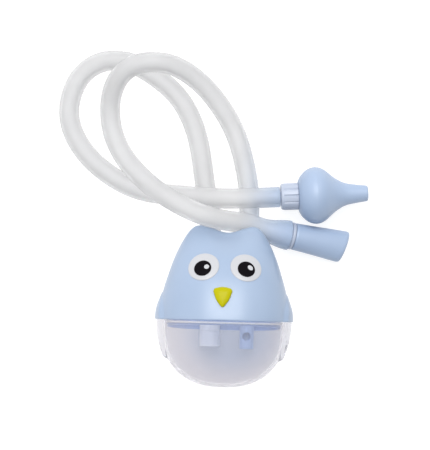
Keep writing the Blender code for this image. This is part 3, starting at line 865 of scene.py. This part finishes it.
def groove_depth(spot):
    """How deep the collar's surface lies in a groove at a spot."""
    turn = (math.atan2(spot.y, spot.x) / TAU % 1.0) * COLLAR_PANELS
    from_groove = abs(turn - round(turn)) * PANEL_STEPS
    if from_groove < 0.6:
        return GROOVE_DEPTH
    return GROOVE_SHOULDER if from_groove < 1.6 else 0.0


def make_connector():
    """The collar between hose and tip: flat panels with narrow grooves, a spigot and a barb."""
    top = COLLAR_LENGTH + SPIGOT_LENGTH
    profile = (
        (3.0, top), (3.0, COLLAR_LENGTH), (5.75, COLLAR_LENGTH), (5.95, COLLAR_LENGTH - 0.25),
        (5.9, GROOVE_START + 0.3), (5.8, GROOVE_START), (5.65, 0.35), (5.3, 0.0),
        (2.2, 0.0), (2.2, 3.0 - BARB_LENGTH), (2.5, 1.5 - BARB_LENGTH), (2.0, -BARB_LENGTH),
        (FITTING_BORE, -BARB_LENGTH), (FITTING_BORE, top),
    )
    collar = turned("collar", profile, COLLAR_PANELS * PANEL_STEPS)
    for vertex in collar.data.vertices:
        spot = vertex.co / MM
        radius = math.hypot(spot.x, spot.y)
        if radius >= GROOVE_INNER_RADIUS and spot.z >= GROOVE_START + 0.1:
            sunk = 1 - groove_depth(spot) / radius
            vertex.co.x *= sunk
            vertex.co.y *= sunk
    settle(collar, facing(NASAL_START, NASAL_AXIS))
    return finish_piece(collar, "nasal_connector", "nasal_connector", pale_blue(), 28)


def smooth_profile(points, per_piece):
    """A smooth curve through (height, radius) points, as (radius, height)."""
    first = tuple(2 * a - b for a, b in zip(points[0], points[1]))
    last = tuple(2 * a - b for a, b in zip(points[-1], points[-2]))
    padded = (first, *points, last)
    made = [catmull_rom(padded, t) for t in spread(0.0, len(points) - 1.0, (len(points) - 1) * per_piece)]
    return [(radius, height) for height, radius in made]


def parting(distance, width):
    """Height of the fine raised line that the mould leaves, at a distance from it."""
    return PARTING_RIDGE * math.exp(-((distance / width) ** 2))


def make_tip():
    """The soft bulb and the narrow tip for the nostril."""
    outside = [
        (radius + parting(height - TIP_PARTING_AT, TIP_PARTING_WIDTH), height)
        for radius, height in smooth_profile(TIP_OUTSIDE, 6)
    ]
    inside = [(radius, height) for height, radius in TIP_INSIDE]
    tip = turned("tip", tuple(outside + inside), 128, facing(NASAL_START, NASAL_AXIS))
    return finish_piece(tip, "nasal_tip", "nasal_tip", blue_silicone(), 50)


# ---------------------------------------------------------------- mouth end

def make_spigot():
    """The tapered spigot inside the hose, with the flange that stops it."""
    top = FLANGE + SPIGOT_LENGTH
    profile = (
        (3.6, top), (3.9, FLANGE), (5.8, FLANGE), (6.0, FLANGE - 0.2), (6.1, 0.7), (6.0, 0.2), (5.8, 0.0),
        (4.8, 0.0), (4.6, -3.0), (4.2, -5.5), (3.6, -8.5), (3.0, -11.0), (2.5, -BARB_LENGTH),
        (FITTING_BORE, -BARB_LENGTH), (FITTING_BORE, top),
    )
    spigot = turned("spigot", profile, 96, facing(MOUTH_START, MOUTH_AXIS))
    return finish_piece(spigot, "mouthpiece_spigot", "mouthpiece_spigot", pale_blue(), 32)


def mouth_rings():
    """Rings of the mouthpiece: along, half width, half height and share of the slant."""
    base = FLANGE + MOUTH_GAP
    end = MOUTH_LENGTH
    outside = (
        (base, 5.4, 5.4, 0.0), (base + 0.12, 5.75, 5.75, 0.0), (base + 0.5, 5.95, 5.95, 0.0),
        (base + 3.0, 6.05, 5.88, 0.0), (base + 6.0, 6.2, 5.75, 0.0), (base + 10.0, 6.4, 5.5, 0.15),
        (base + 14.0, 6.65, 5.4, 0.4), (base + 18.0, 6.9, 5.3, 0.75), (end - 2.2, 7.08, 5.22, 0.92),
        (end - 1.3, 7.1, 5.2, 1.0), (end - 0.6, 7.0, 5.1, 1.0), (end - 0.2, 6.75, 4.85, 1.0),
        (end, 6.3, 4.4, 1.0),
    )
    inside = (
        (end, 5.6, 3.7, 1.0), (end - 0.25, 5.3, 3.4, 1.0), (end - 0.8, 5.2, 3.3, 1.0),
        (base + 13.0, 4.9, 3.6, 0.3), (base + 7.5, 4.5, 4.3, 0.0), (base, 4.3, 4.3, 0.0),
    )
    return outside + inside + outside[:1]


def make_mouthpiece():
    """The flattened mouthpiece: round at its root, oval and cut on a slant at its lip."""
    rings = mouth_rings()
    rows = []
    for a, b in zip(rings, rings[1:]):
        steps = max(1, round(abs(b[0] - a[0]) / MOUTH_RING_STEP))
        rows += [tuple(mix(p, q, i / steps) for p, q in zip(a, b)) for i in range(steps)]
    rows.append(rings[0])

    def place(u, row):
        along, wide, high, slant = row
        turn = TAU * u
        line = parting((u - MOUTH_PARTING_TURN) * TAU * wide, MOUTH_PARTING_WIDTH)
        x, y = (wide + line) * math.cos(turn), (high + line) * math.sin(turn)
        return Vector((x, y, along + x * math.tan(END_SLANT) * slant))

    mouthpiece = wrapped("mouthpiece_lip", rows, 128, place, merge=0.002)
    settle(mouthpiece, facing(MOUTH_START, MOUTH_AXIS))
    return finish_piece(mouthpiece, "mouthpiece", "mouthpiece", blue_silicone(), 40)


# ---------------------------------------------------------------- materials

def material(name):
    """A new node material: itself, its node tree and its surface shader."""
    made = bpy.data.materials.new(name)
    made.use_nodes = True
    return made, made.node_tree, made.node_tree.nodes["Principled BSDF"]


def grain(tree, scale, detail=2.0, roughness=0.5):
    """Soft noise in the piece's own space."""
    place = tree.nodes.new("ShaderNodeTexCoord")
    noise = tree.nodes.new("ShaderNodeTexNoise")
    noise.inputs["Scale"].default_value = scale
    noise.inputs["Detail"].default_value = detail
    noise.inputs["Roughness"].default_value = roughness
    tree.links.new(place.outputs["Object"], noise.inputs["Vector"])
    return noise.outputs["Fac"]


def colour_between(tree, factor, low, high):
    ramp = tree.nodes.new("ShaderNodeValToRGB")
    ramp.color_ramp.elements[0].position = 0.3
    ramp.color_ramp.elements[0].color = (*low, 1.0)
    ramp.color_ramp.elements[1].position = 0.7
    ramp.color_ramp.elements[1].color = (*high, 1.0)
    tree.links.new(factor, ramp.inputs["Fac"])
    return ramp.outputs["Color"]


def value_between(tree, factor, low, high):
    span = tree.nodes.new("ShaderNodeMapRange")
    span.inputs["From Min"].default_value = 0.3
    span.inputs["From Max"].default_value = 0.7
    span.inputs["To Min"].default_value = low
    span.inputs["To Max"].default_value = high
    tree.links.new(factor, span.inputs["Value"])
    return span.outputs["Result"]


def texture_relief(tree, shader, scale, depth):
    """Fine relief, depth in metres."""
    bump = tree.nodes.new("ShaderNodeBump")
    bump.inputs["Strength"].default_value = 0.5
    bump.inputs["Distance"].default_value = depth
    tree.links.new(grain(tree, scale, 3.0), bump.inputs["Height"])
    tree.links.new(bump.outputs["Normal"], shader.inputs["Normal"])


def blend_to(tree, near, distance, reach, far_colour):
    """Fade a colour into another as a distance runs through its reach."""
    share = tree.nodes.new("ShaderNodeMapRange")
    share.interpolation_type = "SMOOTHSTEP"
    share.inputs["From Min"].default_value, share.inputs["From Max"].default_value = reach
    blend = tree.nodes.new("ShaderNodeMix")
    blend.data_type = "RGBA"
    blend.inputs["B"].default_value = (*far_colour, 1.0)
    tree.links.new(distance, share.inputs["Value"])
    tree.links.new(share.outputs["Result"], blend.inputs["Factor"])
    tree.links.new(near, blend.inputs["A"])
    return blend.outputs["Result"]


def set_sockets(shader, sockets):
    for socket, value in sockets.items():
        shader.inputs[socket].default_value = value


def moulded(name, low, high, gloss, sockets=None, clouds=60.0, relief=0.000004):
    """A moulded surface whose colour and gloss drift slightly, with fine relief."""
    made, tree, shader = material(name)
    tree.links.new(colour_between(tree, grain(tree, clouds), low, high), shader.inputs["Base Color"])
    tree.links.new(value_between(tree, grain(tree, clouds * 3), *gloss), shader.inputs["Roughness"])
    if relief:
        texture_relief(tree, shader, 1400.0, relief)
    set_sockets(shader, sockets or {})
    return made


@cache
def blue_shell():
    """Satin injection-moulded plastic."""
    sockets = {"IOR": 1.5, "Specular IOR Level": 0.6}
    return moulded("blue_shell", (0.285, 0.365, 0.495), (0.30, 0.38, 0.51), (0.30, 0.36), sockets)


@cache
def blue_silicone():
    """Matt silicone of the two soft ends."""
    sockets = {"IOR": 1.42, "Specular IOR Level": 0.9}
    low, high = (0.30, 0.385, 0.53), (0.32, 0.405, 0.55)
    return moulded("blue_silicone", low, high, (0.40, 0.48), sockets, relief=0.000006)


@cache
def pale_blue():
    """The lighter plastic of the two end fittings."""
    return moulded("pale_blue", (0.39, 0.435, 0.53), (0.41, 0.455, 0.55), (0.30, 0.36))


@cache
def shaded_blue():
    """The plastic of the plug in a deeper blue than the head's: painted shade for the little light that comes
    in under the head.
    """
    return moulded("shaded_blue", (0.26, 0.385, 0.66), (0.275, 0.40, 0.68), (0.32, 0.38))


@cache
def lit_blue():
    """The same plastic in the pipes, painted lighter than the head's: painted light for the light that comes
    through their thin walls in the dim cup.
    """
    return moulded("lit_blue", (0.44, 0.56, 0.78), (0.46, 0.58, 0.80), (0.32, 0.38))


@cache
def frosted_cup():
    """Clear plastic with a fine frost, painted darker round the pipes' ends as painted shade of the inside
    seen through it, and painted paler towards its sides as painted light of the wall seen edge-on.
    """
    made, tree, shader = material("frosted_cup")
    frost = colour_between(tree, grain(tree, 60.0), (0.575, 0.597, 0.66), (0.59, 0.612, 0.675))
    place = tree.nodes.new("ShaderNodeTexCoord")
    from_middle = tree.nodes.new("ShaderNodeVectorMath")
    from_middle.operation = "SUBTRACT"
    from_middle.inputs[1].default_value = Vector(CUP_SHADE_MIDDLE) * MM
    flat = tree.nodes.new("ShaderNodeVectorMath")
    flat.operation = "MULTIPLY"
    flat.inputs[1].default_value = [1 / (reach * MM) if reach else 0.0 for reach in CUP_SHADE_REACH]
    away = tree.nodes.new("ShaderNodeVectorMath")
    away.operation = "LENGTH"
    tree.links.new(place.outputs["Object"], from_middle.inputs[0])
    tree.links.new(from_middle.outputs["Vector"], flat.inputs[0])
    tree.links.new(flat.outputs["Vector"], away.inputs[0])
    # painted shade round the middle, fading to painted light towards the sides
    colour = blend_to(tree, frost, away.outputs["Value"], (CUP_SHADE_SHARE, 1.0), (0.685, 0.675, 0.70))
    tree.links.new(colour, shader.inputs["Base Color"])
    tree.links.new(value_between(tree, grain(tree, 180.0), 0.10, 0.14), shader.inputs["Roughness"])
    set_sockets(shader, {"Transmission Weight": 0.85, "IOR": 1.06})
    set_sockets(shader, {"Sheen Weight": 0.3, "Sheen Roughness": 0.4})
    return made


@cache
def milky_hose():
    """Translucent silicone tubing, painted blue towards +x as a painted reflection of the blue fittings seen
    through its ends.
    """
    made, tree, shader = material("milky_hose")
    milky = colour_between(tree, grain(tree, 90.0), (0.645, 0.645, 0.648), (0.675, 0.675, 0.678))
    place = tree.nodes.new("ShaderNodeTexCoord")
    parts = tree.nodes.new("ShaderNodeSeparateXYZ")
    tree.links.new(place.outputs["Object"], parts.inputs["Vector"])
    # painted blue for the fittings seen through the wall, growing along x
    reach = (PAINTED_BLUE_FROM_X * MM, PAINTED_BLUE_FULL_X * MM)
    colour = blend_to(tree, milky, parts.outputs["X"], reach, (0.49, 0.575, 0.70))
    tree.links.new(colour, shader.inputs["Base Color"])
    tree.links.new(value_between(tree, grain(tree, 270.0), 0.16, 0.22), shader.inputs["Roughness"])
    set_sockets(shader, {"Transmission Weight": 0.55, "IOR": 1.1})
    return made


@cache
def milky_sleeve():
    """The same silicone in a short sleeve, painted whiter than the hose: painted light, so it shows bright in
    the cup's dim inside.
    """
    sockets = {"Transmission Weight": 0.05, "IOR": 1.3}
    low, high = (0.93, 0.93, 0.94), (0.95, 0.95, 0.955)
    return moulded("milky_sleeve", low, high, (0.30, 0.38), sockets, clouds=90.0, relief=0)


@cache
def soft_white():
    """The rubber of the sealing ring."""
    return moulded("soft_white", (0.80, 0.80, 0.81), (0.84, 0.84, 0.85), (0.40, 0.50), relief=0.00002)


@cache
def gloss_white():
    """Paint of the eyes and their glints."""
    return moulded("gloss_white", (0.455, 0.46, 0.48), (0.475, 0.48, 0.50), (0.28, 0.36), relief=0.000003)


@cache
def gloss_black():
    """Paint of the pupils."""
    sockets = {"Specular IOR Level": 0.05}
    low, high = (0.003, 0.002, 0.003), (0.005, 0.004, 0.006)
    return moulded("gloss_black", low, high, (0.20, 0.28), sockets, relief=0.000003)


@cache
def yellow_gloss():
    """Coloured plastic of the beak."""
    sockets = {"Specular IOR Level": 0.12}
    low, high = (0.39, 0.37, 0.0), (0.42, 0.395, 0.0005)
    return moulded("yellow_gloss", low, high, (0.28, 0.36), sockets, relief=0.000003)


@cache
def white_floor():
    """A matt paper that glows enough to stay white."""
    made, tree, shader = material("white_floor")
    drift = colour_between(tree, grain(tree, 3.0), (0.29, 0.29, 0.29), (0.31, 0.31, 0.31))
    tree.links.new(drift, shader.inputs["Base Color"])
    glow = {"Emission Color": (1.0, 1.0, 1.0, 1.0), "Emission Strength": FLOOR_GLOW}
    set_sockets(shader, {**glow, "Roughness": 0.9, "Specular IOR Level": 0.1})
    return made


# ---------------------------------------------------------------- studio

def make_floor():
    bpy.ops.mesh.primitive_plane_add(size=FLOOR_SIZE, location=(0, 0, FLOOR_Z))
    floor = bpy.context.object
    floor.name = "floor"
    floor.data.materials.append(white_floor())


def make_softbox():
    """One large soft light from beyond the ears; the clear pieces don't show it."""
    lamp = bpy.data.lights.new("softbox", "AREA")
    lamp.shape = "RECTANGLE"
    lamp.size, lamp.size_y = SOFTBOX_SIZE
    lamp.energy = SOFTBOX_POWER
    softbox = bpy.data.objects.new("softbox", lamp)
    bpy.context.scene.collection.objects.link(softbox)
    softbox.location = SOFTBOX_AT
    softbox.rotation_euler = (Vector(SOFTBOX_AIM) - Vector(SOFTBOX_AT)).to_track_quat("-Z", "Y").to_euler()
    softbox.visible_transmission = False


def make_world():
    """Even light from all round, stronger from beyond the ears and weaker from the owl's left side."""
    world = bpy.data.worlds.new("studio")
    world.use_nodes = True
    tree = world.node_tree
    background = tree.nodes["Background"]
    background.inputs["Color"].default_value = WORLD_COLOUR
    direction = tree.nodes.new("ShaderNodeTexCoord")
    lean = tree.nodes.new("ShaderNodeVectorMath")
    lean.operation = "DOT_PRODUCT"
    lean.inputs[1].default_value = WORLD_BRIGHT_SIDE
    span = tree.nodes.new("ShaderNodeMapRange")
    span.inputs["From Min"].default_value, span.inputs["From Max"].default_value = WORLD_LEAN
    span.inputs["To Min"].default_value, span.inputs["To Max"].default_value = WORLD_STRENGTH
    tree.links.new(direction.outputs["Generated"], lean.inputs[0])
    tree.links.new(lean.outputs["Value"], span.inputs["Value"])
    tree.links.new(span.outputs["Result"], background.inputs["Strength"])
    bpy.context.scene.world = world


def make_camera():
    """A long lens almost straight above the owl."""
    back = (CAMERA_AT - CAMERA_AIM).normalized()
    up = Vector((-math.sin(CAMERA_ROLL), math.cos(CAMERA_ROLL), 0.0))
    right = up.cross(back).normalized()
    up = back.cross(right)
    turn = Matrix((right, up, back)).transposed().to_4x4()
    lens = bpy.data.cameras.new("camera")
    lens.lens = CAMERA_LENS
    lens.sensor_width = CAMERA_SENSOR
    lens.sensor_fit = "AUTO"
    lens.clip_start = 0.01
    camera = bpy.data.objects.new("camera", lens)
    bpy.context.scene.collection.objects.link(camera)
    camera.matrix_world = Matrix.Translation(CAMERA_AT) @ turn
    bpy.context.scene.camera = camera


def make_studio():
    make_floor()
    make_world()
    make_softbox()
    make_camera()
    bpy.context.scene.view_settings.view_transform = "Standard"


# ---------------------------------------------------------------- the whole object

def make_aspirator():
    make_head()
    make_eye(-1, "left")
    make_eye(1, "right")
    make_beak()
    make_cup()
    make_plate()
    make_seal()
    make_pipes()
    make_stub()
    nasal_end = [make_connector(), make_tip()]
    mouth_end = [make_spigot(), make_mouthpiece()]
    make_hose("tube_nasal", "hose_nasal", NASAL_ROUTE, False)
    make_hose("tube_mouth", "hose_mouth", MOUTH_ROUTE, True)


deselect()
make_aspirator()
make_studio()
